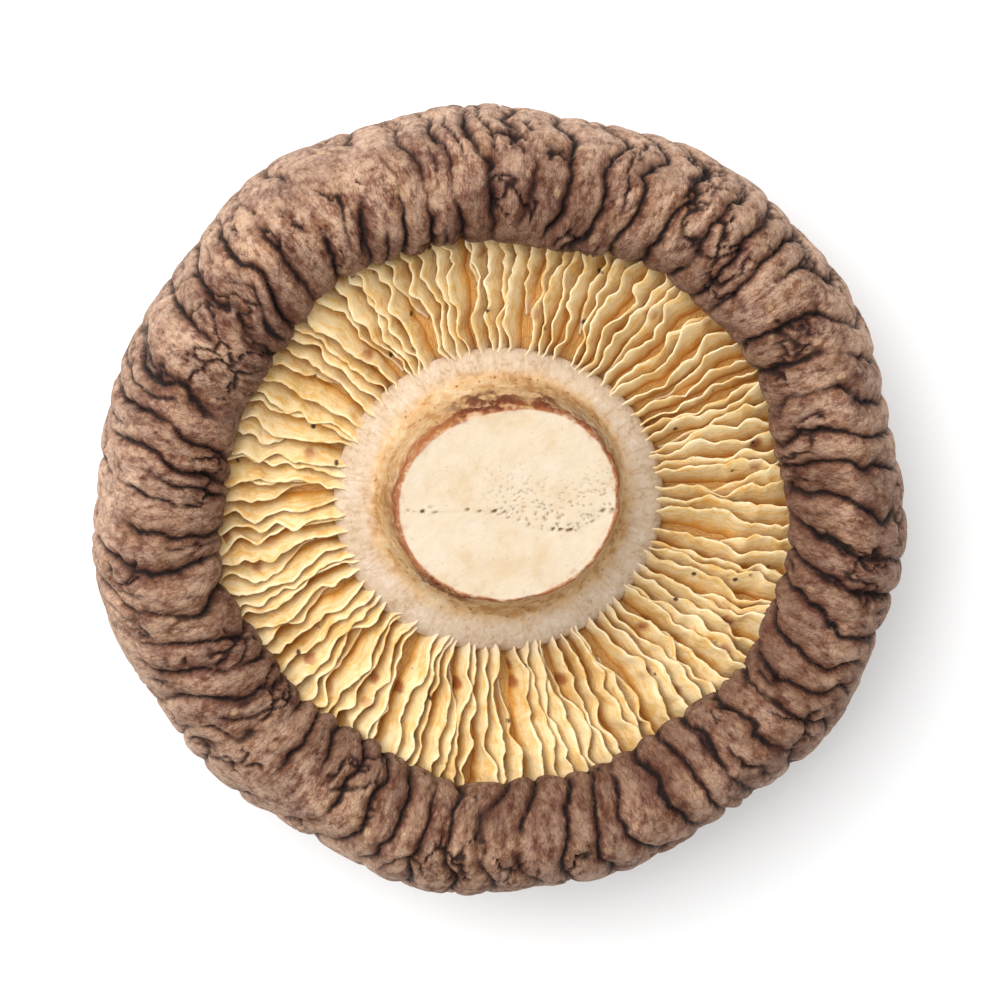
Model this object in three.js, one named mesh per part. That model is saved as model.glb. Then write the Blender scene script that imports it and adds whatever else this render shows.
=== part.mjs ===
// A dried shiitake mushroom, laid on its crown with the gills and the cut stem upwards.
// Millimetres, +Z up, the origin on the resting surface under the middle of the cap.
// One closed skin: crown, rolled rim, gills, collar and stem are turned from one outline,
// then pressed into lobes, wrinkles and gill edges.
import {
  BufferAttribute,
  BufferGeometry,
  CubicBezierCurve,
  Group,
  LatheGeometry,
  LineCurve,
  Mesh,
  MeshStandardMaterial,
  Vector2,
} from "three";
import { mergeVertices } from "three/addons/utils/BufferGeometryUtils.js";

// Cap
const capDiameter = 55;
const crownHeight = 12; // resting flat to the widest ring
const rimRise = 7.6; // widest ring to the top of the rolled rim
const restDiameter = 18; // flat patch on the crown that the mushroom lies on
const mouthDiameter = 38.5; // inside the lip of the rolled rim
const recessDepth = 5.4; // top of the rim down to the gill edges under the lip

// Gills
const gillCount = 48;
const gillRelief = 1; // gill edge to the hollow beside it
const gillRise = 1; // the gill edges climb this much towards the stem

// Stem
const collarDiameter = 21.2; // felted ring where the gills meet the stem
const collarRise = 1; // gill edges to the top of the ring
const collarWidth = 2; // width of the ring, seen from above
const cutLength = 15; // the cut face is slightly oval
const cutBreadth = 13.6;
const stubRise = 5.7; // top of the ring to the cut face
const stemShift = { x: -0.45, y: 1.5 }; // the stem stands a little off the middle of the cap

// Unevenness of a grown and dried thing
const lobes = [
  { count: 2, depth: 0.35, turn: 0.4 },
  { count: 5, depth: 0.35, turn: 2.1 },
  { count: 11, depth: 0.3, turn: 0.9 },
];
const wrinkleCount = 24;
const wrinkleDepth = 0.7;
const rimSway = 0.35; // how far the top of the rim rises and falls
const segments = 96; // an even number of steps for each gill

const capRadius = capDiameter / 2;
const mouthRadius = mouthDiameter / 2;
const restRadius = restDiameter / 2;
const collarRadius = collarDiameter / 2;
const cutRadius = (cutLength + cutBreadth) / 4;
const rimTop = crownHeight + rimRise;
const gillLevel = rimTop - recessDepth;
const collarFoot = gillLevel + gillRise;
const collarTop = collarFoot + collarRise;
const cutLevel = collarTop + stubRise;

// A curve of the outline between two points, each given as radius and height, with one
// handle for each end.
function sweep(start, startHandle, endHandle, end) {
  const points = [start, startHandle, endHandle, end].map(([radius, height]) => new Vector2(radius, height));
  return new CubicBezierCurve(...points);
}

function straight(start, end) {
  return new LineCurve(new Vector2(...start), new Vector2(...end));
}

// The outline from the underside of the crown round the rim to the middle of the cut face.
// rim, gill and stem say which kind of unevenness moves a stretch, and stem says how oval it
// is: 0 for the round ring, 1 for the stub.
function outline() {
  const rimRadius = (capRadius + mouthRadius) / 2;
  const rollReach = (capRadius - mouthRadius) / 4;
  const neckRadius = collarRadius - collarWidth;
  const crown = sweep(
    [restRadius, 0],
    [(restRadius + capRadius) / 2, 0],
    [capRadius, crownHeight / 3],
    [capRadius, crownHeight],
  );
  const outerRoll = sweep(
    [capRadius, crownHeight],
    [capRadius, crownHeight + rimRise / 2],
    [rimRadius + rollReach, rimTop],
    [rimRadius, rimTop],
  );
  const innerRoll = sweep(
    [rimRadius, rimTop],
    [rimRadius - rollReach, rimTop],
    [mouthRadius, rimTop - recessDepth / 3],
    [mouthRadius, gillLevel],
  );
  const gills = straight([mouthRadius, gillLevel], [collarRadius, collarFoot]);
  const collar = sweep(
    [collarRadius, collarFoot],
    [collarRadius, collarTop],
    [neckRadius, collarTop],
    [neckRadius, collarTop],
  );
  const stem = straight([neckRadius, collarTop], [cutRadius, cutLevel]);
  return [
    { curve: straight([0, 0], [restRadius, 0]), steps: 2, rim: 0 },
    { curve: crown, steps: 9, rim: 1 },
    { curve: outerRoll, steps: 6, rim: 1 },
    { curve: innerRoll, steps: 6, rim: 1 },
    { curve: gills, steps: 4, gill: 1 },
    { curve: collar, steps: 3, stem: 0 },
    { curve: stem, steps: 3, stem: 1 },
    { curve: straight([cutRadius, cutLevel], [0, cutLevel]), steps: 2, stem: 1 },
  ];
}

// How strongly the rim is pressed: nothing at the resting flat, all of it over the roll,
// and nothing again under the lip, where the gills begin.
function rimStrength(stretch, share) {
  if (stretch === 1) {
    return share;
  }
  return stretch === 3 ? 1 - share ** 2 : 1;
}

// How far a stretch follows the stem off the middle: the gills reach from the lip to the ring.
function shiftShare(part, share) {
  if (part.gill) {
    return share;
  }
  return part.stem === undefined ? 0 : 1;
}

function profilePoints() {
  const points = [{ radius: 0, height: 0, rim: 0, gill: 0, oval: 0, shift: 0 }];
  outline().forEach((part, stretch) => {
    for (let step = 1; step <= part.steps; step += 1) {
      const share = step / part.steps;
      const { x, y } = part.curve.getPoint(share);
      points.push({
        radius: x,
        height: y,
        rim: part.rim ? rimStrength(stretch, share) : 0,
        gill: part.gill && share < 1 ? 1 : 0,
        oval: part.stem ? (stretch === 6 ? share : 1) : 0,
        shift: shiftShare(part, share),
      });
    }
  });
  return points;
}

function lobeOutset(angle) {
  return lobes.reduce((sum, lobe) => sum + lobe.depth * Math.cos(lobe.count * angle + lobe.turn), 0);
}

// Rounded lumps with a narrow crease between each two; every third crease is the deepest.
function wrinkleInset(angle) {
  const turns = (wrinkleCount * angle) / 2 + 0.8 * Math.sin(3 * angle);
  const crease = (1 - Math.abs(Math.sin(turns))) ** 2;
  return wrinkleDepth * crease * (0.8 + 0.2 * Math.cos((wrinkleCount / 3) * angle));
}

// The two half widths of the cut face, as a factor on the turned circle.
function ovalFactor(angle) {
  const length = cutLength / 2;
  const breadth = cutBreadth / 2;
  return (length * breadth) / Math.hypot(breadth * Math.cos(angle), length * Math.sin(angle)) / cutRadius;
}

function pressPoint(point, angle) {
  const outset = point.rim * (lobeOutset(angle) - wrinkleInset(angle));
  const oval = 1 + point.oval * (ovalFactor(angle) - 1);
  const overTop = Math.max(0, point.height / rimTop - 0.5) * 2;
  const sway = rimSway * Math.sin(4 * angle + 1) - wrinkleInset(angle);
  const gillEdge = (gillRelief / 2) * (Math.cos(gillCount * angle) - 1);
  return {
    radius: point.radius * oval + outset,
    height: point.height + point.rim * overTop * sway + point.gill * gillEdge,
  };
}

// Joins the seam and the two poles of the turned skin into one closed surface.
function closeSkin(turned) {
  turned.deleteAttribute("normal");
  turned.deleteAttribute("uv");
  const merged = mergeVertices(turned, 1e-4);
  const index = merged.getIndex();
  const kept = [];
  for (let corner = 0; corner < index.count; corner += 3) {
    const [a, b, c] = [index.getX(corner), index.getX(corner + 1), index.getX(corner + 2)];
    if (a !== b && b !== c && c !== a) {
      kept.push(a, b, c);
    }
  }
  const closed = new BufferGeometry();
  closed.setAttribute("position", merged.getAttribute("position"));
  closed.setIndex(new BufferAttribute(new Uint32Array(kept), 1));
  closed.computeVertexNormals();
  return closed;
}

function mushroomSkin() {
  const profile = profilePoints();
  const turned = new LatheGeometry(profile.map((point) => new Vector2(point.radius, point.height)), segments);
  const position = turned.getAttribute("position");
  for (let vertex = 0; vertex < position.count; vertex += 1) {
    const point = profile[vertex % profile.length];
    const segment = Math.floor(vertex / profile.length) % segments;
    const angle = (2 * Math.PI * segment) / segments;
    const { radius, height } = pressPoint(point, angle);
    const x = radius * Math.cos(angle) + point.shift * stemShift.x;
    const y = radius * Math.sin(angle) + point.shift * stemShift.y;
    position.setXYZ(vertex, x, y, height);
  }
  return closeSkin(turned);
}

const driedSkin = new MeshStandardMaterial({ color: 0x7a6257, roughness: 0.85, metalness: 0 });
const mushroom = new Mesh(mushroomSkin(), driedSkin);
mushroom.name = "mushroom";

const shiitake = new Group();
shiitake.add(mushroom);

export default shiitake;
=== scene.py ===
import math

import bpy
from mathutils import Matrix, Vector


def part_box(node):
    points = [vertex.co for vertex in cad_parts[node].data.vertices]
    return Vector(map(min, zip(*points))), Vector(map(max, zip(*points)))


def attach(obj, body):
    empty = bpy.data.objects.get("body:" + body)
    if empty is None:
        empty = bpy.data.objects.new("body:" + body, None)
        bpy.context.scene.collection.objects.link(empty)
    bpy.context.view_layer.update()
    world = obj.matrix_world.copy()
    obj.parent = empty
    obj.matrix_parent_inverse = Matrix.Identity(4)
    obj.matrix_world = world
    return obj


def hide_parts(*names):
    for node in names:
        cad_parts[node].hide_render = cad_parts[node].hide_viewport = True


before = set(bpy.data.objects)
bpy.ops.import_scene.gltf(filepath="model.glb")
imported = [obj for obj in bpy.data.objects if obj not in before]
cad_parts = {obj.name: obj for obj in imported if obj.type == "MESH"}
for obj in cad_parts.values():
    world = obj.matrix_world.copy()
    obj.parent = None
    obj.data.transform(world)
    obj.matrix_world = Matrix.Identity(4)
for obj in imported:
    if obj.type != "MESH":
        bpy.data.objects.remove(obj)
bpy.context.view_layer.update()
low, high = (Vector(corner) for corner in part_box("mushroom"))
mm = 0.001
capRadius = (high.x - low.x + high.y - low.y) / 4   # half the mean width
height = high.z                                     # from the resting surface to the cut face
stemShift = Vector((-0.45, 1.5, 0)) * mm            # the stem stands a little off the cap's middle
print("frame read: cap radius", round(capRadius, 4), "height", round(height, 4))


class Wiring:
    # one node tree, and short calls that add a node, feed its inputs and hand back an output

    def __init__(self, tree):
        self.tree = tree

    def add(self, kind, inputs=None, **settings):
        node = self.tree.nodes.new(kind)
        for name, value in settings.items():
            setattr(node, name, value)
        for key, value in (inputs or {}).items():
            self.feed(value, node.inputs[key])
        return node

    def feed(self, value, socket):
        if isinstance(value, bpy.types.NodeSocket):
            self.tree.links.new(value, socket)
        else:
            socket.default_value = value

    def math(self, operation, *values):
        return self.add("ShaderNodeMath", dict(enumerate(values)), operation=operation).outputs[0]

    def largest(self, *values):
        total = values[0]
        for value in values[1:]:
            total = self.math("MAXIMUM", total, value)
        return total

    def plus(self, *values):
        total = values[0]
        for value in values[1:]:
            total = self.math("ADD", total, value)
        return total

    def times(self, *values):
        total = values[0]
        for value in values[1:]:
            total = self.math("MULTIPLY", total, value)
        return total

    def minus(self, first, second):
        return self.math("SUBTRACT", first, second)

    def vector(self, operation, *values):
        node = self.add("ShaderNodeVectorMath", dict(enumerate(values)), operation=operation)
        return node.outputs["Value" if operation == "LENGTH" else "Vector"]

    def fromAxis(self, x, y):
        return self.vector("LENGTH", self.join(x, y, 0.0))

    def scale(self, vector, factor):
        inputs = {0: vector, "Scale": factor}
        return self.add("ShaderNodeVectorMath", inputs, operation="SCALE").outputs["Vector"]

    def stretch(self, vector, along):
        # a smaller third coordinate draws a pattern out along it
        return self.vector("MULTIPLY", vector, (1.0, 1.0, along))

    def ramp(self, value, start, end, first=0.0, last=1.0):
        # eased from first, at start, to last, at end
        inputs = {"Value": value, "From Min": start, "From Max": end,
                  "To Min": first, "To Max": last}
        node = self.add("ShaderNodeMapRange", inputs, interpolation_type="SMOOTHSTEP")
        return node.outputs["Result"]

    def noise(self, vector, scale, detail=2.0, roughness=0.5, distortion=0.0, output="Fac"):
        inputs = {"Vector": vector, "Scale": scale, "Detail": detail, "Roughness": roughness,
                  "Distortion": distortion}
        return self.add("ShaderNodeTexNoise", inputs).outputs[output]

    def wave(self, vector, scale, detail=1.0):
        # noise that goes both ways from nothing
        return self.minus(self.noise(vector, scale, detail), 0.5)

    def push(self, vector, scale, detail, reach):
        # moves a place a little, each way by its own noise
        colour = self.noise(vector, scale, detail, output="Color")
        away = self.vector("SUBTRACT", colour, (0.5, 0.5, 0.5))
        return self.vector("ADD", vector, self.scale(away, reach))

    def cells(self, vector, scale, feature="DISTANCE_TO_EDGE", output="Distance"):
        inputs = {"Vector": vector, "Scale": scale}
        return self.add("ShaderNodeTexVoronoi", inputs, feature=feature).outputs[output]

    def mix(self, factor, first, second):
        inputs = {0: factor, 2: first, 3: second}
        return self.add("ShaderNodeMix", inputs, data_type="FLOAT").outputs[0]

    def tint(self, factor, first, second, blend="MIX"):
        inputs = {0: factor, 6: first, 7: second}
        return self.add("ShaderNodeMix", inputs, data_type="RGBA", blend_type=blend).outputs[2]

    def split(self, vector):
        return self.add("ShaderNodeSeparateXYZ", {0: vector}).outputs

    def join(self, x, y, z):
        return self.add("ShaderNodeCombineXYZ", {0: x, 1: y, 2: z}).outputs[0]

    def bump(self, levels, strength, distance):
        inputs = {"Height": levels, "Strength": strength, "Distance": distance}
        return self.add("ShaderNodeBump", inputs).outputs[0]

    def place(self, tree, **values):
        # a shared shader group with this material's own values
        node = self.add("ShaderNodeGroup", node_tree=tree)
        for name, value in values.items():
            self.feed(value, node.inputs[name])
        return node.outputs

    def attribute(self, name, output="Fac"):
        return self.add("ShaderNodeAttribute", attribute_name=name).outputs[output]

    def named(self, name, kind="FLOAT"):
        node = self.add("GeometryNodeInputNamedAttribute", {"Name": name}, data_type=kind)
        return node.outputs["Attribute"]

    def store(self, geometry, name, value, kind="FLOAT"):
        inputs = {"Geometry": geometry, "Name": name, "Value": value}
        node = self.add("GeometryNodeStoreNamedAttribute", inputs, data_type=kind)
        return node.outputs["Geometry"]


def newTree(kind, name, inputs, outputs):
    # inputs: name -> (socket kind, default value), outputs: name -> socket kind
    tree = bpy.data.node_groups.new(name, kind)
    for label, (socketKind, value) in inputs.items():
        socket = tree.interface.new_socket(label, in_out="INPUT", socket_type=socketKind)
        if value is not None:
            socket.default_value = value
    for label, socketKind in outputs.items():
        tree.interface.new_socket(label, in_out="OUTPUT", socket_type=socketKind)
    wires = Wiring(tree)
    return wires, wires.add("NodeGroupInput").outputs, wires.add("NodeGroupOutput").inputs


def shapingTree(name, numbers, others=None):
    # a Geometry Nodes tree with named number inputs
    inputs = {"Geometry": ("NodeSocketGeometry", None)}
    inputs |= {label: ("NodeSocketFloat", 1.0) for label in numbers}
    inputs |= others or {}
    return newTree("GeometryNodeTree", name, inputs, {"Geometry": "NodeSocketGeometry"})


def plainMesh(holder, tree, values):
    # runs a tree on an object and keeps the result as its plain mesh
    modifier = holder.modifiers.new(tree.name, "NODES")
    modifier.node_group = tree
    keys = {item.name: item.identifier for item in tree.interface.items_tree
            if item.item_type == "SOCKET" and item.in_out == "INPUT"}
    for name, value in values.items():
        modifier[keys[name]] = value
    graph = bpy.context.evaluated_depsgraph_get()
    made = bpy.data.meshes.new_from_object(holder.evaluated_get(graph), depsgraph=graph)
    holder.modifiers.remove(modifier)
    holder.data = made
    made.name = holder.name
    return holder


def newPiece(name, points, faces):
    mesh = bpy.data.meshes.new(name)
    mesh.from_pydata(points, [], faces)
    mesh.shade_smooth()
    piece = bpy.data.objects.new(name, mesh)
    bpy.context.scene.collection.objects.link(piece)
    return piece


def bezier(handles, share):
    # a point of a curve with two ends and two handles, each given as (radius, level)
    rest = 1 - share
    weights = (rest ** 3, 3 * rest ** 2 * share, 3 * rest * share ** 2, share ** 3)
    return tuple(sum(weight * handle[axis] for weight, handle in zip(weights, handles))
                 for axis in (0, 1))


def ringBand(faces, first, firstCount, second, secondCount):
    # joins two rings of points; one may have half as many points as the other
    if firstCount == secondCount:
        for k in range(firstCount):
            n = (k + 1) % firstCount
            faces.append((first + k, first + n, second + n, second + k))
    elif secondCount == 2 * firstCount:
        for k in range(firstCount):
            n = (k + 1) % firstCount
            a, b, c = 2 * k, 2 * k + 1, (2 * k + 2) % secondCount
            faces.append((first + k, second + b, second + a))
            faces.append((first + k, first + n, second + b))
            faces.append((first + n, second + c, second + b))
    else:
        for k in range(secondCount):
            n = (k + 1) % secondCount
            a, b, c = 2 * k, 2 * k + 1, (2 * k + 2) % firstCount
            faces.append((first + a, first + b, second + k))
            faces.append((first + b, second + n, second + k))
            faces.append((first + b, first + c, second + n))


def turnedSkin(name, rows, place):
    # rows: (radius, level, points in the ring, facts), from pole to pole
    # hands back the piece and, for each of its points, the facts of its row and its angle
    points, facts, angles, faces, starts = [], [], [], [], []
    for radius, level, count, fact in rows:
        starts.append(len(points))
        for k in range(max(count, 1)):
            angle = 2 * math.pi * k / max(count, 1)
            points.append(place(radius, level, angle, fact))
            facts.append(fact)
            angles.append(angle)
    counts = [row[2] for row in rows]
    for k in range(counts[1]):
        faces.append((0, starts[1] + (k + 1) % counts[1], starts[1] + k))
    for i in range(1, len(rows) - 2):
        ringBand(faces, starts[i], counts[i], starts[i + 1], counts[i + 1])
    for k in range(counts[-2]):
        faces.append((starts[-1], starts[-2] + k, starts[-2] + (k + 1) % counts[-2]))
    return newPiece(name, points, faces), facts, angles


def keepFloats(mesh, name, values):
    mesh.attributes.new(name, "FLOAT", "POINT").data.foreach_set("value", values)


def keepVectors(mesh, name, values):
    layer = mesh.attributes.new(name, "FLOAT_VECTOR", "POINT")
    layer.data.foreach_set("vector", [number for value in values for number in value])


# Radii are shares of the cap's radius, levels are shares of the height, the rest is in mm.
cap = dict(
    rest=0.33, widest=0.548, rimRadius=0.842, rimLevel=0.895, lipRadius=0.682, lipLevel=0.745,
    tuckRadius=0.725, tuckLevel=0.655, floorLevel=0.63,
    lobes=((2, 0.0127, 0.4), (5, 0.0127, 2.1), (11, 0.008, 0.9)),   # count, depth, turn
    sway=0.35,          # how far the top of the rim rises and falls
    columns=1024,       # points around the rim
    flowRadius=24,      # at this radius, and on the crown, the flow coordinates are true
    topAt=41.0,         # over the skin from the middle of the crown to the top of the rim
    restFolds=0.75,     # folds of the resting patch, as a share of those of the crown
    # lines around the rim, depth, how much of the rim they cover, an offset that makes
    # each family its own, and the angle where its lines are densest
    folds=[
        dict(lines=58, depth=0.95, share=0.66, shift=0.0, toward=-0.3),
        dict(lines=116, depth=0.5, share=0.46, shift=13.0, toward=2.6),
        dict(lines=232, depth=0.14, share=0.40, shift=29.0, toward=2.9),
    ],
    foldBend=1.0, slant=-0.2, branchDepth=0.38, crownDepth=0.5, crownSize=3.0, bulk=0.8,
    colours=dict(
        dark=(0.080, 0.024, 0.012, 1), middle=(0.200, 0.080, 0.042, 1),
        pale=(0.44, 0.25, 0.155, 1), tan=(0.31, 0.160, 0.078, 1), mauve=(0.175, 0.072, 0.048, 1),
        # top is partly the skin's own paler tone, partly a painted highlight on the plate tops
        top=(0.61, 0.41, 0.28, 1), outerPale=(0.65, 0.45, 0.32, 1), fleck=(0.64, 0.41, 0.23, 1),
        # hollow and crease are painted shade in the folds
        hollow=(0.050, 0.016, 0.010, 1), crease=(0.010, 0.004, 0.003, 1),
        flesh=(0.66, 0.36, 0.11, 1),
    ),
)


def capOutline():
    rest, widest, rim, rimAt = cap["rest"], cap["widest"], cap["rimLevel"], cap["rimRadius"]
    lipAt, lip, floor = cap["lipRadius"], cap["lipLevel"], cap["floorLevel"]
    tuckAt, tuck = cap["tuckRadius"], cap["tuckLevel"]
    roll, dip = 0.075, 0.05   # how far the handles of the rolled rim and of the lip reach
    crown = ((rest, 0), ((rest + 1) / 2, 0), (1, widest / 3), (1, widest))
    outer = ((1, widest), (1, (widest + rim) / 2), (rimAt + roll, rim), (rimAt, rim))
    inner = ((rimAt, rim), (rimAt - roll, rim), (lipAt, rim - dip), (lipAt, lip))
    tucked = ((lipAt, lip), (lipAt, lip - dip), (tuckAt, lip - dip), (tuckAt, tuck))
    wall = ((tuckAt, tuck), (tuckAt, floor), (tuckAt, floor), (tuckAt - 0.02, floor))
    # curve, steps, how strongly folds press it at its two ends, bare flesh at its two ends
    return (
        (crown, 46, (0, 1), (0, 0)), (outer, 32, (1, 1), (0, 0)), (inner, 25, (1, 1), (0, 0)),
        (tucked, 7, (1, 0), (0, 1)), (wall, 3, (0, 0), (1, 1)),
    )


def capRows():
    # radius, level, points in the ring, how strongly it is pressed, how bare the flesh is
    full, patchSteps = cap["columns"], 16
    rows = [(0, 0, 0, 0.0, 0.0)]
    for step in range(1, patchSteps + 1):
        count = full // (8 if step < patchSteps / 2 else 4)
        rows.append((cap["rest"] * step / patchSteps, 0, count, 0.0, 0.0))
    for number, (curve, steps, press, bare) in enumerate(capOutline()):
        for step in range(1, steps + 1):
            share = step / steps
            radius, level = bezier(curve, share)
            count = full if radius > 0.70 and level > 0.2 and number < 4 else full // 2
            if number == 0 and radius < 0.38 and step < 3:
                count = full // 4
            rise = min(1, 3 * share) if number == 0 else share
            pressed = press[0] + (press[1] - press[0]) * rise
            rows.append((radius, level, count, pressed, bare[0] + (bare[1] - bare[0]) * share ** 2))
    for share in (0.75, 0.5, 0.25):
        rows.append((cap["tuckRadius"] * share, cap["floorLevel"], full // 4, 0.0, 1.0))
    rows.append((0, cap["floorLevel"], 0, 0.0, 1.0))
    return rows


def capShell():
    rows, facts, along = capRows(), [], 0.0
    flowRadius = cap["flowRadius"]
    for i, (radius, level, count, pressed, bare) in enumerate(rows):
        if i:
            step = ((radius - rows[i - 1][0]) * capRadius, (level - rows[i - 1][1]) * height)
            along += math.hypot(*step) / mm
        onCrown = level <= cap["widest"]
        ring = min(flowRadius, radius * capRadius / mm) if onCrown else flowRadius
        folded = max(pressed, cap["restFolds"]) if onCrown else pressed
        fact = (pressed, along, bare, ring, folded)
        facts.append((radius * capRadius, level * height, count, fact))

    def place(radius, level, angle, fact):
        lobe = sum(depth * math.cos(count * angle + turn) for count, depth, turn in cap["lobes"])
        wide = radius + fact[0] * lobe * capRadius
        overTop = max(0.0, level / (cap["rimLevel"] * height) - 0.5) * 2
        sway = cap["sway"] * mm * math.sin(4 * angle + 1) * fact[0] * overTop
        return Vector((wide * math.cos(angle), wide * math.sin(angle), level + sway))

    shell, pointFacts, angles = turnedSkin("cap", facts, place)
    keepVectors(shell.data, "flow", [
        (ring * math.cos(angle), ring * math.sin(angle), along)
        for angle, (pressed, along, bare, ring, folded) in zip(angles, pointFacts)])
    keepFloats(shell.data, "turn", angles)
    keepFloats(shell.data, "press", [fact[4] for fact in pointFacts])
    keepFloats(shell.data, "bare", [fact[2] for fact in pointFacts])
    return shell


def wrinkleTree():
    foldWords = ("Lines", "Depth", "Share", "Shift", "Toward")
    words = [f"Fold {n + 1} {word}" for n in range(len(cap["folds"])) for word in foldWords]
    numbers = words + ["Fold Bend", "Slant", "Branch Depth", "Crown Depth", "Crown Size", "Bulk"]
    wires, given, out = shapingTree("wrinkledSkin", numbers)
    flow = wires.named("flow", "FLOAT_VECTOR")
    turn, press = wires.named("turn"), wires.named("press")
    position = wires.add("GeometryNodeInputPosition").outputs[0]
    inMm = wires.scale(position, 1000.0)
    x, y, level = wires.split(inMm)
    radius = wires.fromAxis(x, y)
    fromTop = wires.minus(wires.split(flow)[2], cap["topAt"])

    # all families bend and slant together, so that neighbouring lines seldom cross
    facing = wires.math("COSINE", turn)
    slant = wires.times(facing, facing, given["Slant"], fromTop)
    together = slant
    for shares, size, detail, reach in (
            ((0.7, 0.7, 0.8), 8, 1.0, 6.5), ((0.5, 0.5, 0.9), 2.8, 1.0, 2.2),
            ((0.45, 0.45, 1.0), 0.9, 1.5, 0.65)):
        drawn = wires.vector("MULTIPLY", flow, shares)
        together = wires.plus(together, wires.times(wires.wave(drawn, 1 / size, detail), reach))

    def foldFamily(number):
        # lines that run from the crown over the rim, bend, fade out and come back
        lines, depth, share, shift, toward = (given[f"Fold {number} {word}"] for word in foldWords)
        spot = wires.vector("ADD", flow, wires.join(shift, shift, shift))
        bend = wires.plus(together, wires.times(wires.wave(wires.stretch(spot, 0.6), 1 / 5), 1.6))
        around = 2 * math.pi * cap["flowRadius"]
        bend = wires.times(bend, given["Fold Bend"], wires.math("DIVIDE", lines, around))
        phase = wires.plus(wires.times(turn, wires.math("DIVIDE", lines, 2 * math.pi)), bend)
        nearest = wires.math("ABSOLUTE", wires.minus(phase, wires.math("ROUND", phase)))
        lump = wires.math("POWER", wires.math("SINE", wires.times(nearest, math.pi)), 0.34)
        away = wires.times(nearest, wires.math("DIVIDE", wires.times(radius, 2 * math.pi), lines))
        denser = wires.times(wires.math("COSINE", wires.minus(turn, toward)), 0.05)
        edge = wires.minus(wires.minus(1.0, share), denser)
        cover = wires.noise(wires.stretch(spot, 0.3), 0.30, 1.5)
        strength = wires.ramp(cover, edge, wires.plus(edge, 0.13))
        drop = wires.times(wires.minus(lump, 1.0), depth, strength)
        reach = wires.plus(0.09, wires.times(depth, 0.15), wires.times(wires.wave(flow, 0.9), 0.14))
        return drop, wires.times(wires.ramp(away, reach, wires.times(reach, 0.35)), strength)

    families = [foldFamily(number + 1) for number in range(len(cap["folds"]))]
    drop = wires.plus(*(family[0] for family in families))
    crease = wires.largest(families[0][1], families[1][1], wires.times(families[2][1], 0.4))

    # short slanting creases that join the long ones here and there
    slanted = wires.stretch(wires.push(flow, 0.4, 2.0, 4.0), 0.55)
    chosen = wires.ramp(wires.noise(flow, 0.23), 0.54, 0.62)
    branch = wires.times(wires.ramp(wires.cells(slanted, 0.42), 0.08, 0.0), chosen)
    drop = wires.minus(drop, wires.times(branch, given["Branch Depth"]))
    crease = wires.largest(crease, wires.times(wires.ramp(branch, 0.35, 0.85), 0.9))

    # the folds fade towards the widest ring, where a net of lumps takes over for the crown
    fade = wires.plus(level, wires.times(wires.wave(flow, 1 / 5), 5.0))
    fade = wires.ramp(fade, 10.0, 16.5, 0.5, 1.0)
    drop, crease = wires.times(drop, fade), wires.times(crease, fade)
    lumpAt = wires.push(inMm, 0.22, 1.0, 5.0)
    cell = wires.cells(lumpAt, wires.math("DIVIDE", 1.0, given["Crown Size"]))
    finer = wires.cells(lumpAt, wires.math("DIVIDE", 2.3, given["Crown Size"]))
    net = wires.plus(wires.minus(wires.ramp(cell, -0.06, 0.40), 1.0),
                     wires.times(wires.minus(wires.ramp(finer, -0.05, 0.4), 1.0), 0.25))
    onRim = wires.ramp(wires.plus(level, wires.times(wires.wave(flow, 1 / 4), 5.0)), 3.0, 12.5)
    drop = wires.mix(onRim, wires.times(net, given["Crown Depth"]), drop)
    crease = wires.mix(onRim, wires.ramp(cell, 0.05, 0.0, 0.0, 0.8), crease)

    bulk = wires.times(wires.wave(flow, 1 / 6, 2.0), given["Bulk"])
    small = wires.times(wires.wave(wires.stretch(flow, 0.6), 1 / 0.8, 3.0), 0.12)
    total = wires.times(wires.plus(drop, bulk, small), press, mm)
    kept = wires.store(given["Geometry"], "crease", wires.times(crease, press))
    kept = wires.store(kept, "hollow", wires.times(wires.plus(drop, wires.times(bulk, 0.4)), press))
    offset = wires.scale(wires.add("GeometryNodeInputNormal").outputs[0], total)
    # lumps that would go through the resting surface are pressed flat on it
    x, y, z = wires.split(wires.vector("ADD", position, offset))
    spot = wires.join(x, y, wires.largest(z, 0.0))
    moved = wires.add("GeometryNodeSetPosition", {"Geometry": kept, "Position": spot})
    wires.feed(moved.outputs[0], out[0])
    return wires.tree


# Shader groups that several of the mushroom's materials share.
def mottleGroup():
    # two sizes of blotches between a dark, a middle and a pale tone
    wires, given, out = newTree("ShaderNodeTree", "driedMottle", {
        "Place": ("NodeSocketVector", None), "Size": ("NodeSocketFloat", 1.0),
        "Contrast": ("NodeSocketFloat", 1.0), "Dark": ("NodeSocketColor", None),
        "Middle": ("NodeSocketColor", None), "Pale": ("NodeSocketColor", None),
    }, {"Color": "NodeSocketColor", "Value": "NodeSocketFloat"})
    scale = wires.math("DIVIDE", 1.0, given["Size"])
    broad = wires.noise(given["Place"], wires.times(scale, 0.22), 3.0, 0.55)
    fine = wires.noise(given["Place"], scale, 5.0, 0.65, 0.4)
    both = wires.plus(wires.times(wires.minus(broad, 0.5), 0.9), wires.minus(fine, 0.5))
    value = wires.plus(0.5, wires.times(both, given["Contrast"], 1.6))
    tone = wires.tint(wires.ramp(value, 0.15, 0.5), given["Dark"], given["Middle"])
    wires.feed(wires.tint(wires.ramp(value, 0.5, 0.9), tone, given["Pale"]), out["Color"])
    wires.feed(value, out["Value"])
    return wires.tree


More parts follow.
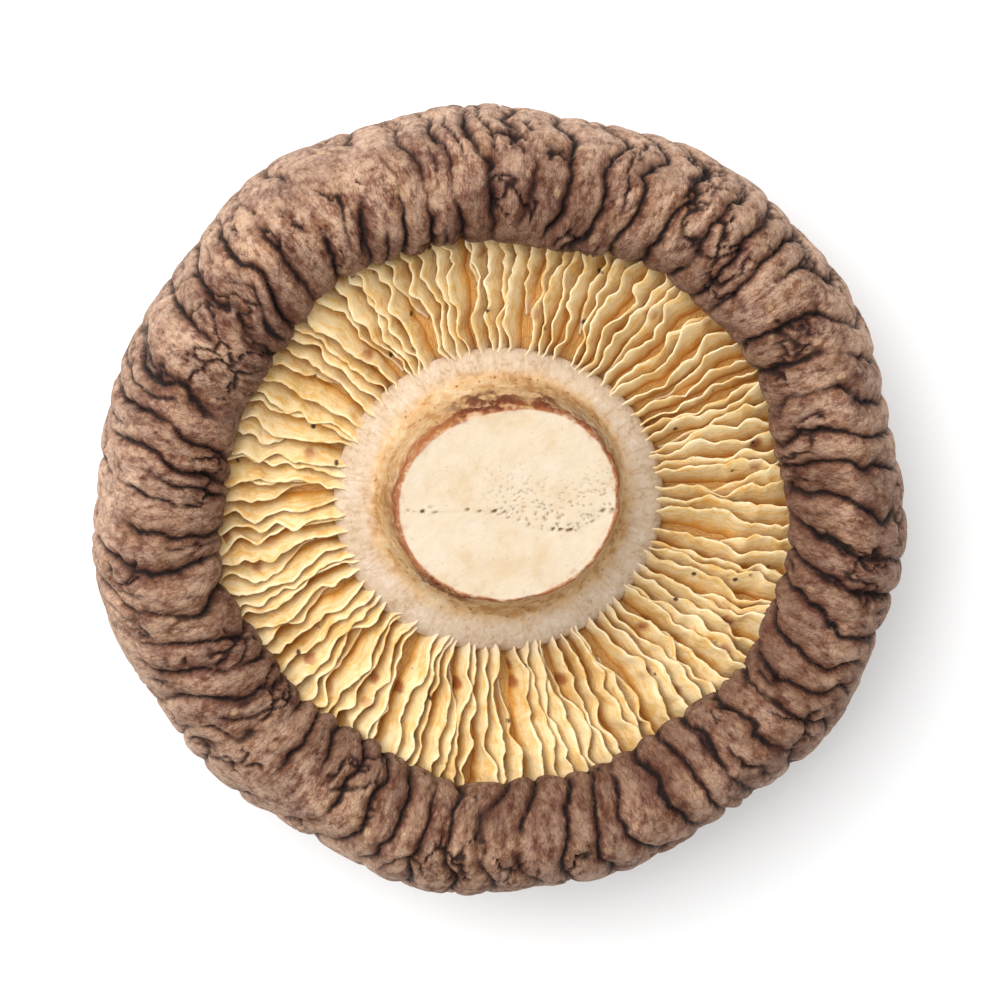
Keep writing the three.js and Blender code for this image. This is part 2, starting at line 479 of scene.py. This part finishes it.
def speckGroup():
    # small round specks, in only some of the cells that could hold one
    wires, given, out = newTree("ShaderNodeTree", "scatteredSpecks", {
        "Place": ("NodeSocketVector", None), "Spacing": ("NodeSocketFloat", 1.0),
        "Size": ("NodeSocketFloat", 0.2), "Share": ("NodeSocketFloat", 0.2),
    }, {"Mask": "NodeSocketFloat"})
    ragged = wires.scale(wires.noise(given["Place"], 5.0, 2.0, output="Color"), 0.25)
    place = wires.vector("ADD", given["Place"], ragged)
    scale = wires.math("DIVIDE", 1.0, given["Spacing"])
    cell = wires.add("ShaderNodeTexVoronoi", {"Vector": place, "Scale": scale})
    chosen = wires.math("LESS_THAN", wires.split(cell.outputs["Color"])[0], given["Share"])
    away = wires.times(cell.outputs["Distance"], given["Spacing"])
    spot = wires.ramp(away, given["Size"], wires.times(given["Size"], 0.4))
    wires.feed(wires.times(spot, chosen), out["Mask"])
    return wires.tree


def grainGroup():
    # the fine crumpled surface of dried flesh
    wires, given, out = newTree("ShaderNodeTree", "driedGrain", {
        "Place": ("NodeSocketVector", None), "Size": ("NodeSocketFloat", 0.3),
        "Cracks": ("NodeSocketFloat", 0.5),
    }, {"Height": "NodeSocketFloat", "Crack": "NodeSocketFloat"})
    scale = wires.math("DIVIDE", 1.0, given["Size"])
    bent = wires.push(given["Place"], wires.times(scale, 0.5), 2.0, wires.times(given["Size"], 3.0))
    crack = wires.ramp(wires.cells(bent, wires.times(scale, 0.33)), 0.10, 0.0)
    rough = wires.noise(given["Place"], scale, 5.0, 0.65)
    wires.feed(wires.minus(rough, wires.times(crack, given["Cracks"])), out["Height"])
    wires.feed(crack, out["Crack"])
    return wires.tree


mottle, specks, grain = mottleGroup(), speckGroup(), grainGroup()


def newMaterial(name):
    material = bpy.data.materials.new(name)
    material.use_nodes = True
    material.node_tree.nodes.clear()
    wires = Wiring(material.node_tree)
    shader = wires.add("ShaderNodeBsdfPrincipled")
    wires.feed(shader.outputs[0], wires.add("ShaderNodeOutputMaterial").inputs[0])
    objectAt = wires.add("ShaderNodeTexCoord").outputs["Object"]
    return material, wires, shader.inputs, wires.scale(objectAt, 1000.0)


def capMaterial():
    material, wires, surface, inMm = newMaterial("driedCapSkin")
    colours = cap["colours"]
    flow = wires.attribute("flow", "Vector")
    drawnOut = wires.stretch(flow, 0.6)
    hollow = wires.attribute("hollow")
    x, y, level = wires.split(inMm)
    hue = wires.ramp(wires.noise(flow, 0.35, 3.0, 0.6), 0.36, 0.64)
    middle = wires.tint(wires.ramp(hue, 0.0, 0.5), colours["mauve"], colours["middle"])
    middle = wires.tint(wires.ramp(hue, 0.5, 1.0, 0.0, 0.45), middle, colours["tan"])
    base = wires.place(mottle, Place=drawnOut, Size=0.36, Contrast=1.2,
                       Dark=colours["dark"], Middle=middle, Pale=colours["pale"])

    # broad dark places, and paler tops of the plates between them: partly the skin's own paler
    # tone, partly a painted highlight
    broad = wires.ramp(wires.noise(flow, 0.2, 2.0), 0.40, 0.60)
    tone = wires.tint(wires.times(wires.minus(1.0, broad), 0.42), base["Color"], colours["dark"])
    patches = wires.ramp(wires.noise(drawnOut, 1.3, 5.0, 0.75), 0.38, 0.62)
    paler = wires.plus(0.52, wires.times(broad, 0.26))
    paleAndHighlitTops = wires.times(wires.ramp(hollow, -0.35, 0.1), patches, paler)
    tone = wires.tint(paleAndHighlitTops, tone, colours["top"])

    # the skin is paler in patches towards the outside, and less so low on the crown
    outside = wires.ramp(wires.plus(level, wires.times(wires.wave(flow, 0.3), 4.0)), 19.0, 14.0)
    outerPale = wires.ramp(wires.noise(inMm, 1.2, 5.0, 0.75), 0.32, 0.66)
    outerPale = wires.times(outerPale, outside, wires.ramp(level, 8.0, 15.0, 0.3, 0.68))
    tone = wires.tint(outerPale, tone, colours["outerPale"])
    fleck = wires.place(specks, Place=wires.stretch(flow, 0.7), Spacing=1.1, Size=0.34, Share=0.25)
    tone = wires.tint(wires.times(fleck["Mask"], 0.5), tone, colours["fleck"])

    # painted shade: darker under the lip and on one side of the cap
    underLipShade = wires.ramp(wires.fromAxis(x, y), 23.5, 19.0, 0.0, 0.45)
    tone = wires.tint(underLipShade, tone, colours["dark"])
    sideShade = wires.plus(wires.minus(x, y), wires.times(wires.wave(flow, 0.1), 20.0))
    tone = wires.tint(wires.ramp(sideShade, 8.0, 32.0, 0.0, 0.27), tone, colours["dark"])

    surfaceGrain = wires.place(grain, Place=drawnOut, Size=0.2, Cracks=0.3)
    tone = wires.tint(wires.times(surfaceGrain["Crack"], 0.16), tone, colours["dark"])
    # painted shade: darker down in the hollows, and almost black along the creases
    tone = wires.tint(wires.ramp(hollow, -0.15, -0.7, 0.0, 0.8), tone, colours["hollow"])
    tone = wires.tint(wires.times(wires.attribute("crease"), 0.96), tone, colours["crease"])
    tone = wires.tint(wires.ramp(wires.attribute("bare"), 0.2, 0.8), tone, colours["flesh"])
    wires.feed(tone, surface["Base Color"])
    surface["Specular IOR Level"].default_value = 0.25
    wires.feed(wires.ramp(base["Value"], 0.2, 0.9, 0.9, 0.6), surface["Roughness"])
    wires.feed(wires.bump(surfaceGrain["Height"], 0.8, 0.00022), surface["Normal"])
    return material


# Levels are shares of the height; the rest is in mm or in steps from gill to gill.
gills = dict(
    count=114, shortEvery=5, stemRadius=9.3, ringShift=-0.9,
    midLevel=0.703, stemLevel=0.702, lipLevel=0.722,
    intoRim=0.3, intoFloor=0.2,   # how far the sheets are sunk into the cap
    thickness=0.15, lean=1.4, sway=0.65, loose=1.15, kink=0.65, seed=4,
    colours=dict(
        # deep, and side where it lies low on a sheet, are partly painted shade between the sheets
        deep=(0.78, 0.35, 0.06, 1), side=(0.79, 0.47, 0.135, 1), face=(0.82, 0.64, 0.36, 1),
        # edge is a painted highlight along the tops of the sheets
        edge=(0.875, 0.73, 0.465, 1), speck=(0.06, 0.03, 0.02, 1), rust=(0.30, 0.07, 0.015, 1),
        felted=(0.70, 0.56, 0.41, 1), blotch=(0.84, 0.70, 0.46, 1), faint=(0.95, 0.91, 0.83, 1),
        clean=(1, 1, 1, 1),
    ),
)


def gillMaterial():
    material, wires, surface, inMm = newMaterial("driedGill")
    colours = gills["colours"]
    # along each sheet from the stem outwards, and from its root up to its edge
    sheet = wires.split(wires.vector("ADD", wires.attribute("sheet", "Vector"), (0.5, 0.5, 0.5)))
    reach, rise = sheet[0], sheet[2]
    ragged = wires.times(wires.wave(inMm, 1.3, 3.0), 0.5)
    raggedRise = wires.plus(rise, ragged)
    # lower down each sheet the tone turns orange: partly the flesh's own colour, partly painted
    # shade between the sheets
    tone = wires.tint(wires.ramp(raggedRise, 0.0, 0.4), colours["deep"], colours["side"])
    tone = wires.tint(wires.ramp(raggedRise, 0.2, 0.6), tone, colours["face"])
    fibres = wires.join(
        wires.times(reach, 5.0), wires.times(rise, 6.0), wires.times(wires.attribute("gill"), 3.3))
    streaks = wires.noise(fibres, 1.6, 4.0, 0.6)
    tone = wires.tint(wires.ramp(streaks, 0.49, 0.63, 0.0, 0.8), tone, colours["side"])
    # a painted highlight along the top edge of each sheet
    edgeHighlight = wires.times(wires.ramp(rise, 0.90, 1.0), wires.ramp(streaks, 0.62, 0.42, 0.2, 1.0))
    tone = wires.tint(edgeHighlight, tone, colours["edge"])
    blotch = wires.place(mottle, Place=inMm, Size=0.8, Contrast=1.1, Dark=colours["blotch"],
                         Middle=colours["faint"], Pale=colours["clean"])
    tone = wires.tint(1.0, tone, blotch["Color"], "MULTIPLY")
    rust = wires.place(specks, Place=wires.stretch(inMm, 0.3), Spacing=1.9, Size=0.65, Share=0.3)
    rusty = wires.times(rust["Mask"], wires.ramp(rise, 1.0, 0.6, 0.35, 1.0), 0.85)
    tone = wires.tint(rusty, tone, colours["rust"])
    felted = wires.ramp(wires.plus(reach, wires.times(ragged, 0.2)), 0.20, 0.05, 0.0, 0.75)
    tone = wires.tint(felted, tone, colours["felted"])
    speck = wires.place(specks, Place=wires.stretch(inMm, 0.15), Spacing=1.3, Size=0.25, Share=0.26)
    tone = wires.tint(wires.times(speck["Mask"], 0.97), tone, colours["speck"])
    wires.feed(tone, surface["Base Color"])
    surface["Roughness"].default_value = 0.65
    surface["Specular IOR Level"].default_value = 0.3
    surfaceGrain = wires.place(grain, Place=inMm, Size=0.35, Cracks=0.2)
    wires.feed(wires.bump(surfaceGrain["Height"], 0.4, 0.00014), surface["Normal"])
    return material


def gillTree():
    numbers = ("Stem Radius", "Rim Radius", "Root Level", "Lip Level", "Mid Level", "Stem Level",
               "Thickness", "Lean", "Sway", "Loose", "Kink")
    wires, given, out = shapingTree("gillRing", numbers, {
        "Stem Shift": ("NodeSocketVector", None), "Count": ("NodeSocketInt", 96),
        "Short Every": ("NodeSocketInt", 3), "Seed": ("NodeSocketInt", 0),
        "Material": ("NodeSocketMaterial", None),
    })
    sheetInputs = {"Size": (1, 1, 1), "Vertices X": 44, "Vertices Y": 2, "Vertices Z": 7}
    sheet = wires.add("GeometryNodeMeshCube", sheetInputs).outputs["Mesh"]
    within = wires.add("GeometryNodeInputPosition").outputs[0]
    sheet = wires.store(sheet, "sheet", within, "FLOAT_VECTOR")
    dots = wires.add("GeometryNodePoints", {"Count": given["Count"]}).outputs[0]
    dots = wires.store(dots, "gill", wires.add("GeometryNodeInputIndex").outputs[0])
    copies = wires.add("GeometryNodeInstanceOnPoints", {"Points": dots, "Instance": sheet})
    ring = wires.add("GeometryNodeRealizeInstances", {"Geometry": copies.outputs[0]}).outputs[0]

    gill = wires.named("gill")
    x, y, z = wires.split(wires.named("sheet", "FLOAT_VECTOR"))
    reach, side, rise = wires.plus(x, 0.5), wires.times(y, 2.0), wires.plus(z, 0.5)

    def chance(step):
        inputs = {"ID": gill, "Seed": wires.plus(given["Seed"], step)}
        return wires.add("FunctionNodeRandomValue", inputs, data_type="FLOAT").outputs[1]

    # every so many gills is a short one, which starts part of the way out from the stem
    place = wires.math("FRACT", wires.math("DIVIDE", wires.plus(gill, 0.5), given["Short Every"]))
    short = wires.math("LESS_THAN", place, wires.math("DIVIDE", 1.0, given["Short Every"]))
    start = wires.times(short, wires.mix(chance(0), 0.12, 0.5))
    along = wires.mix(reach, start, 1.0)
    radius = wires.mix(along, given["Stem Radius"], given["Rim Radius"])
    climb = wires.mix(short, 1.0, wires.ramp(reach, 0.0, 0.6, 0.25, 1.0))
    pitch = wires.math("DIVIDE", 2 * math.pi, given["Count"])
    home = wires.times(wires.plus(gill, wires.times(wires.minus(chance(1), 0.5), 0.6)), pitch)
    around = wires.join(
        wires.math("COSINE", home), wires.math("SINE", home), wires.times(along, 0.9))
    later = wires.vector("ADD", around, (7.0, 3.0, 1.0))

    # the sheets all lean the same way, some further than others, and wave along their length
    sweep = wires.ramp(wires.noise(wires.stretch(around, 0.4), 1.6, 1.0), 0.35, 0.65, 0.8, 1.35)
    ownAt = wires.join(wires.times(along, 4.0), wires.times(gill, 3.7), wires.times(rise, 0.6))
    own = wires.wave(ownAt, 1.0)
    ownLean = wires.times(own, 2.2, given["Loose"])
    kinkAt = wires.join(wires.times(along, 12.0), wires.times(gill, 2.9), wires.times(rise, 0.8))
    ownLean = wires.plus(ownLean, wires.times(wires.wave(kinkAt, 1.0, 1.5), 1.5, given["Kink"]))
    lean = wires.plus(wires.times(sweep, given["Lean"]), ownLean)
    lean = wires.times(lean, wires.math("POWER", rise, 1.2), climb)
    waves = wires.plus(
        wires.times(wires.wave(later, 2.0), 2.4), wires.times(wires.wave(later, 5.5), 2.0))
    sway = wires.times(waves, given["Sway"])
    shift = wires.times(wires.plus(lean, sway), pitch)
    half = wires.times(given["Thickness"], wires.mix(rise, 1.25, 0.7), 0.5)
    angle = wires.plus(home, shift, wires.math("DIVIDE", wires.times(side, half), radius))

    inward = wires.ramp(along, 0.25, 0.03)
    outward = wires.ramp(along, 0.5, 0.85)
    edgeLevel = wires.mix(inward, given["Mid Level"], given["Stem Level"])
    edgeLevel = wires.mix(outward, edgeLevel, given["Lip Level"])
    top = wires.plus(edgeLevel, wires.times(own, 1.1 * mm))
    level = wires.mix(wires.times(rise, climb), given["Root Level"], top)
    aside = wires.times(radius, wires.math("COSINE", angle))
    ahead = wires.times(radius, wires.math("SINE", angle))
    spot = wires.join(aside, ahead, level)
    spot = wires.vector("ADD", spot, wires.scale(given["Stem Shift"], wires.minus(1.0, along)))
    moved = wires.add("GeometryNodeSetPosition", {"Geometry": ring, "Position": spot}).outputs[0]
    smooth = wires.add("GeometryNodeSetShadeSmooth", {"Geometry": moved}).outputs[0]
    inputs = {"Geometry": smooth, "Material": given["Material"]}
    wires.feed(wires.add("GeometryNodeSetMaterial", inputs).outputs[0], out[0])
    return wires.tree


def makeGills():
    holder = newPiece("gills", [(0, 0, 0)], [])
    return plainMesh(holder, gillTree(), {
        "Stem Radius": gills["stemRadius"] * mm,
        "Rim Radius": cap["tuckRadius"] * capRadius + gills["intoRim"] * mm,
        "Root Level": cap["floorLevel"] * height - gills["intoFloor"] * mm,
        "Lip Level": gills["lipLevel"] * height, "Mid Level": gills["midLevel"] * height,
        "Stem Level": gills["stemLevel"] * height,
        "Thickness": gills["thickness"] * mm, "Lean": gills["lean"], "Sway": gills["sway"],
        "Loose": gills["loose"], "Kink": gills["kink"], "Count": gills["count"],
        "Stem Shift": stemShift + Vector((0, gills["ringShift"] * mm, 0)),
        "Short Every": gills["shortEvery"], "Seed": gills["seed"], "Material": gillMaterial(),
    })


# The stub's outline in mm from its axis and below the cut face: a felted ring, a drawn-in side
# and the edge of the cut.
stem = dict(
    columns=384, oval=0.07, ovalTurn=0.22, egg=0.014, eggTurn=2.5, ringShift=-1.0, ringFlat=0.07,
    overFloor=0.4,      # the stub starts this far above the floor of the cap
    ring=((11.3, -7.3), (10.8, -6.3), (9.9, -5.95), (8.8, -5.75)),
    side=((8.8, -5.75), (8.1, -5.6), (7.5, -3.4), (7.03, -0.45)),
    edge=((7.03, -0.45), (6.99, -0.15), (6.91, -0.05), (6.71, -0.05)),
    # crusts left along the cut: angle, spread, strength
    crusts=((1.78, 0.38, 1.0), (1.2, 0.13, 0.9), (0.6, 0.45, 0.5),
            (4.1, 0.30, 0.9), (3.2, 0.3, 0.4)),
    feltDepth=0.1, fibreDepth=0.26, crustDepth=0.45, stepDepth=0.05, pitDepth=0.28,
    colours=dict(
        felt=(0.575, 0.44, 0.31, 1), feltDark=(0.45, 0.30, 0.18, 1),
        feltPale=(0.65, 0.535, 0.42, 1), side=(0.58, 0.37, 0.18, 1),
        sideDark=(0.42, 0.22, 0.08, 1), sidePale=(0.66, 0.49, 0.30, 1),
        face=(0.60, 0.49, 0.355, 1), faceDark=(0.57, 0.435, 0.285, 1),
        facePale=(0.63, 0.525, 0.40, 1), crust=(0.125, 0.026, 0.011, 1),
        # pit is partly the torn flesh's brown, partly painted shade in the holes
        line=(0.33, 0.105, 0.035, 1), pit=(0.15, 0.07, 0.025, 1),
    ),
)


def stemRows():
    # zone: 0 to 1 over the ring, 1 to 2 up the side, 2 to 3 round the edge, 3 to 4 to the middle
    full = stem["columns"]
    top = height / mm
    floor = cap["floorLevel"] * top + stem["overFloor"]
    rows = [(0, floor, 0, 0.0), (4, floor, full // 8, 0.0), (7, floor, full // 4, 0.0)]
    rows.append((9.5, floor, full // 2, 0.0))
    for curve, steps, zone in ((stem["ring"], 26, 0), (stem["side"], 30, 1), (stem["edge"], 6, 2)):
        for step in range(0 if zone == 0 else 1, steps + 1):
            radius, level = bezier(curve, step / steps)
            rows.append((radius, top + level, full, zone + step / steps))
    faceRadius, faceLevel = stem["edge"][-1]
    faceSteps = 56
    for step in range(1, faceSteps):
        share = 1 - step / faceSteps
        fewer = 1 if share > 0.5 else 2 if share > 0.25 else 4 if share > 0.1 else 8
        rows.append((faceRadius * share, top + faceLevel, full // fewer, 4.0 - share))
    rows.append((0, top + faceLevel, 0, 4.0))
    return rows


def stemTree():
    numbers = ("Felt Depth", "Fibre Depth", "Crust Depth", "Step Depth", "Pit Depth")
    shiftInput = {"Stem Shift": ("NodeSocketVector", None)}
    wires, given, out = shapingTree("feltedStem", numbers, shiftInput)
    zone = wires.named("zone")
    position = wires.add("GeometryNodeInputPosition").outputs[0]
    inMm = wires.scale(wires.vector("SUBTRACT", position, given["Stem Shift"]), 1000.0)
    x, y, level = wires.split(inMm)
    turn = wires.math("ARCTAN2", y, x)
    radius = wires.fromAxis(x, y)
    flat = wires.join(wires.math("COSINE", turn), wires.math("SINE", turn), 0.0)

    def swept(size, along, stretch):
        # true distances around a circle of that size, drawn out along the other way
        lengthways = wires.join(0.0, 0.0, wires.times(along, stretch))
        return wires.vector("ADD", wires.scale(flat, size), lengthways)

    onFelt = wires.times(wires.ramp(zone, 0.0, 0.1), wires.ramp(zone, 1.15, 0.85))
    tufts = wires.times(wires.wave(swept(9.5, radius, 0.15), 1.3, 2.0), 2.4)
    tufts = wires.times(tufts, wires.ramp(zone, 0.7, 0.1))
    swells = wires.times(wires.wave(swept(9.5, radius, 0.8), 0.45, 3.0), 2.0)
    swells = wires.times(swells, wires.ramp(zone, 0.6, 0.2, 0.5, 1.0))
    felt = wires.plus(wires.wave(swept(9.5, radius, 0.9), 3.0, 4.0), tufts, swells)
    onSide = wires.times(wires.ramp(zone, 0.9, 1.2), wires.ramp(zone, 2.3, 1.9))
    streak = wires.plus(wires.wave(swept(8.0, level, 0.35), 1.7, 3.0),
                        wires.times(wires.wave(inMm, 0.6, 2.0), 0.8))

    # crusty skin left where the side meets the cut
    crust = 0.0
    for angle, spread, strength in stem["crusts"]:
        facing = wires.math("COSINE", wires.minus(turn, angle))
        patch = wires.ramp(facing, math.cos(spread * 1.25), math.cos(spread * 0.45))
        crust = wires.largest(crust, wires.times(patch, strength))
    ragged = wires.noise(inMm, 1.1, 3.0, 0.6)
    nearEdge = wires.ramp(wires.plus(zone, wires.times(ragged, 0.6)), 1.75, 2.0)
    crust = wires.times(crust, wires.ramp(ragged, 0.40, 0.52), nearEdge, wires.ramp(zone, 2.9, 2.4))
    lumpy = wires.plus(0.25, wires.times(wires.wave(inMm, 2.6, 3.0), 2.0))
    lumps = wires.times(crust, lumpy, given["Crust Depth"])

    # the cut took two strokes, which meet in a torn step that bends down and up again
    meeting = wires.plus(
        -0.5, wires.ramp(x, -2.0, 3.5, 0.0, -1.4), wires.ramp(x, 4.2, 6.8, 0.0, 1.1),
        wires.times(wires.wave(inMm, 0.9, 3.0), 0.7))
    above = wires.minus(y, meeting)
    onFace = wires.ramp(zone, 2.7, 3.05)
    higher = wires.ramp(above, -0.12, 0.16)
    rotated = {"Vector": inMm, "Angle": -0.6}
    slant = wires.add("ShaderNodeVectorRotate", rotated, rotation_type="Z_AXIS").outputs[0]
    slant = wires.vector("MULTIPLY", slant, (1.0, 1.8, 1.0))
    torn = wires.times(
        wires.ramp(wires.cells(slant, 1.6, "F1"), 0.40, 0.22),
        wires.ramp(above, 0.55, 0.25), wires.ramp(wires.noise(inMm, 0.7), 0.42, 0.52))
    pores = wires.times(
        wires.ramp(wires.cells(slant, 2.7, "F1"), 0.38, 0.16),
        wires.ramp(x, -3.5, 1.5), wires.ramp(above, 5.2, 0.6), 0.55)
    pit = wires.times(wires.largest(torn, pores), higher, onFace)

    nearCut = wires.times(wires.ramp(zone, 1.4, 1.9), wires.ramp(zone, 3.0, 2.6))
    change = wires.plus(wires.times(felt, onFelt, given["Felt Depth"]),
                        wires.times(streak, onSide, given["Fibre Depth"]), lumps,
                        wires.times(wires.minus(higher, 1.0), onFace, given["Step Depth"]),
                        wires.times(pit, wires.times(given["Pit Depth"], -1.0)),
                        wires.times(wires.wave(inMm, 0.35, 2.0), onFace, 0.25),
                        wires.times(wires.wave(swept(7.0, 0.0, 1.0), 0.45, 3.0), nearCut, 0.7))
    kept = wires.store(given["Geometry"], "crust", crust)
    kept = wires.store(kept, "pit", pit)
    offset = wires.scale(wires.add("GeometryNodeInputNormal").outputs[0], wires.times(change, mm))
    moved = wires.add("GeometryNodeSetPosition", {"Geometry": kept, "Offset": offset})
    wires.feed(moved.outputs[0], out[0])
    return wires.tree


def stemMaterial():
    material, wires, surface, inMm = newMaterial("driedStem")
    colours = stem["colours"]
    place = wires.vector("SUBTRACT", inMm, tuple(stemShift / mm))
    x, y = wires.split(place)[:2]
    turn = wires.math("ARCTAN2", y, x)
    zone = wires.attribute("zone")
    # true distances around a circle of 9 mm, for what runs with the ring
    swept = wires.join(
        wires.times(wires.math("COSINE", turn), 9.0), wires.times(wires.math("SINE", turn), 9.0),
        wires.times(wires.fromAxis(x, y), 0.8))
    felt = wires.place(mottle, Place=swept, Size=0.28, Contrast=0.9, Dark=colours["feltDark"],
                       Middle=colours["felt"], Pale=colours["feltPale"])["Color"]
    side = wires.place(mottle, Place=place, Size=0.7, Contrast=1.2, Dark=colours["sideDark"],
                       Middle=colours["side"], Pale=colours["sidePale"])["Color"]
    face = wires.place(mottle, Place=place, Size=1.6, Contrast=1.0, Dark=colours["faceDark"],
                       Middle=colours["face"], Pale=colours["facePale"])["Color"]
    fibres = wires.noise(wires.stretch(swept, 0.2), 3.2, 3.0, 0.6)
    felt = wires.tint(wires.ramp(fibres, 0.50, 0.66, 0.0, 0.5), felt, colours["feltDark"])
    blur = wires.times(wires.wave(place, 1.2, 3.0), 0.5)
    tone = wires.tint(wires.ramp(wires.plus(zone, blur), 0.75, 1.15), felt, side)
    tone = wires.tint(wires.ramp(zone, 2.3, 2.9), tone, face)
    onSide = wires.times(wires.ramp(zone, 0.8, 1.2), wires.ramp(zone, 2.5, 2.1))
    speck = wires.place(specks, Place=place, Spacing=0.5, Size=0.14, Share=0.4)
    speckled = wires.times(speck["Mask"], wires.mix(onSide, 0.12, 0.7))
    tone = wires.tint(speckled, tone, colours["crust"])
    rimLine = wires.times(wires.ramp(wires.plus(zone, wires.times(blur, 0.5)), 1.76, 1.95),
                          wires.ramp(wires.plus(zone, blur), 3.04, 2.7))
    broken = wires.ramp(wires.noise(place, 1.1, 4.0, 0.65), 0.30, 0.55, 0.15, 0.95)
    tone = wires.tint(wires.times(rimLine, broken), tone, colours["line"])
    tone = wires.tint(wires.times(wires.attribute("crust"), 0.9), tone, colours["crust"])
    # the pits are tinted brown: partly the torn flesh's own colour, partly painted shade in the
    # holes
    tone = wires.tint(wires.attribute("pit"), tone, colours["pit"])
    wires.feed(tone, surface["Base Color"])
    surface["Roughness"].default_value = 0.85
    surface["Specular IOR Level"].default_value = 0.2
    surfaceGrain = wires.place(grain, Place=wires.stretch(place, 0.5), Size=0.3, Cracks=0.15)
    wires.feed(wires.bump(surfaceGrain["Height"], 0.35, 0.00012), surface["Normal"])
    return material


def makeStem():
    def place(radius, level, angle, zone):
        # the cut is an uneven oval; the ring is a flatter circle, a little to one side
        uneven = stem["oval"] * math.cos(2 * (angle - stem["ovalTurn"]))
        uneven += stem["egg"] * math.cos(3 * angle - stem["eggTurn"])
        stretch = 1 + uneven * min(1, max(0, zone - 1))
        low = max(0, 1 - zone / 2)
        x = radius * math.cos(angle) * stretch
        y = radius * math.sin(angle) * stretch * (1 - stem["ringFlat"] * low)
        return Vector((x, y + stem["ringShift"] * low, level)) * mm + stemShift

    piece, zones = turnedSkin("stem", stemRows(), place)[:2]
    keepFloats(piece.data, "zone", zones)
    plainMesh(piece, stemTree(), {
        "Felt Depth": stem["feltDepth"], "Fibre Depth": stem["fibreDepth"],
        "Crust Depth": stem["crustDepth"], "Step Depth": stem["stepDepth"],
        "Pit Depth": stem["pitDepth"], "Stem Shift": stemShift,
    })
    piece.data.materials.append(stemMaterial())
    return piece


def makeCap():
    values = {"Fold Bend": cap["foldBend"], "Slant": cap["slant"], "Bulk": cap["bulk"],
              "Branch Depth": cap["branchDepth"], "Crown Depth": cap["crownDepth"],
              "Crown Size": cap["crownSize"]}
    for number, fold in enumerate(cap["folds"], 1):
        for word in ("lines", "depth", "share", "shift", "toward"):
            values[f"Fold {number} {word.title()}"] = float(fold[word])
    shell = plainMesh(capShell(), wrinkleTree(), values)
    shell.data.materials.append(capMaterial())
    return shell


pieces = ((makeCap(), "cap_skin"), (makeGills(), "gill_flesh"), (makeStem(), "stem_flesh"))
for piece, slotName in pieces:
    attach(piece, "root")
    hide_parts("mushroom")
    print(piece.name, sum(len(p.vertices) - 2 for p in piece.data.polygons), "triangles")


# Lengths in metres; back points from the mushroom to the camera.
stage = dict(
    floorHalf=3.0, floorTone=(0.95, 0.95, 0.95, 1),
    keyFrom=(-0.6, 0.62, 1.12), keyDistance=0.5, keySize=0.45, keyPower=3.3, roomLight=0.76,
    back=(-0.09, 0.18, 1), lens=150, sensor=36,
    capShare=0.80,      # how much of the picture's width the cap fills
)


def makeFloor():
    half = stage["floorHalf"]
    corners = [(-half, -half, 0), (half, -half, 0), (half, half, 0), (-half, half, 0)]
    floor = newPiece("floor", corners, [(0, 1, 2, 3)])
    material, _, surface, _ = newMaterial("paleFloor")
    surface["Base Color"].default_value = stage["floorTone"]
    surface["Roughness"].default_value = 0.9
    floor.data.materials.append(material)


def makeLights():
    lamp = bpy.data.lights.new("keyLight", "AREA")
    lamp.size = stage["keySize"]
    lamp.energy = stage["keyPower"]
    holder = bpy.data.objects.new("keyLight", lamp)
    bpy.context.scene.collection.objects.link(holder)
    target = Vector((0, 0, height * 0.6))
    holder.location = target + Vector(stage["keyFrom"]).normalized() * stage["keyDistance"]
    holder.rotation_mode = "QUATERNION"
    holder.rotation_quaternion = (target - holder.location).to_track_quat("-Z", "Y")
    world = bpy.data.worlds.new("softRoom")
    bpy.context.scene.world = world
    world.use_nodes = True
    background = world.node_tree.nodes["Background"]
    background.inputs["Color"].default_value = (1, 1, 1, 1)
    background.inputs["Strength"].default_value = stage["roomLight"]


def makeCamera():
    data = bpy.data.cameras.new("camera")
    data.lens, data.sensor_width = stage["lens"], stage["sensor"]
    holder = bpy.data.objects.new("camera", data)
    bpy.context.scene.collection.objects.link(holder)
    back = Vector(stage["back"]).normalized()
    centre = (low + high) / 2
    distance = 2 * capRadius / stage["capShare"] * data.lens / data.sensor_width
    right = Vector((0, 1, 0)).cross(back).normalized()
    turn = Matrix((right, back.cross(right), back)).transposed().to_4x4()
    holder.matrix_world = Matrix.Translation(centre + back * distance) @ turn
    bpy.context.scene.camera = holder


makeFloor()
makeLights()
makeCamera()
bpy.context.scene.view_settings.view_transform = "Standard"
print("stage set")
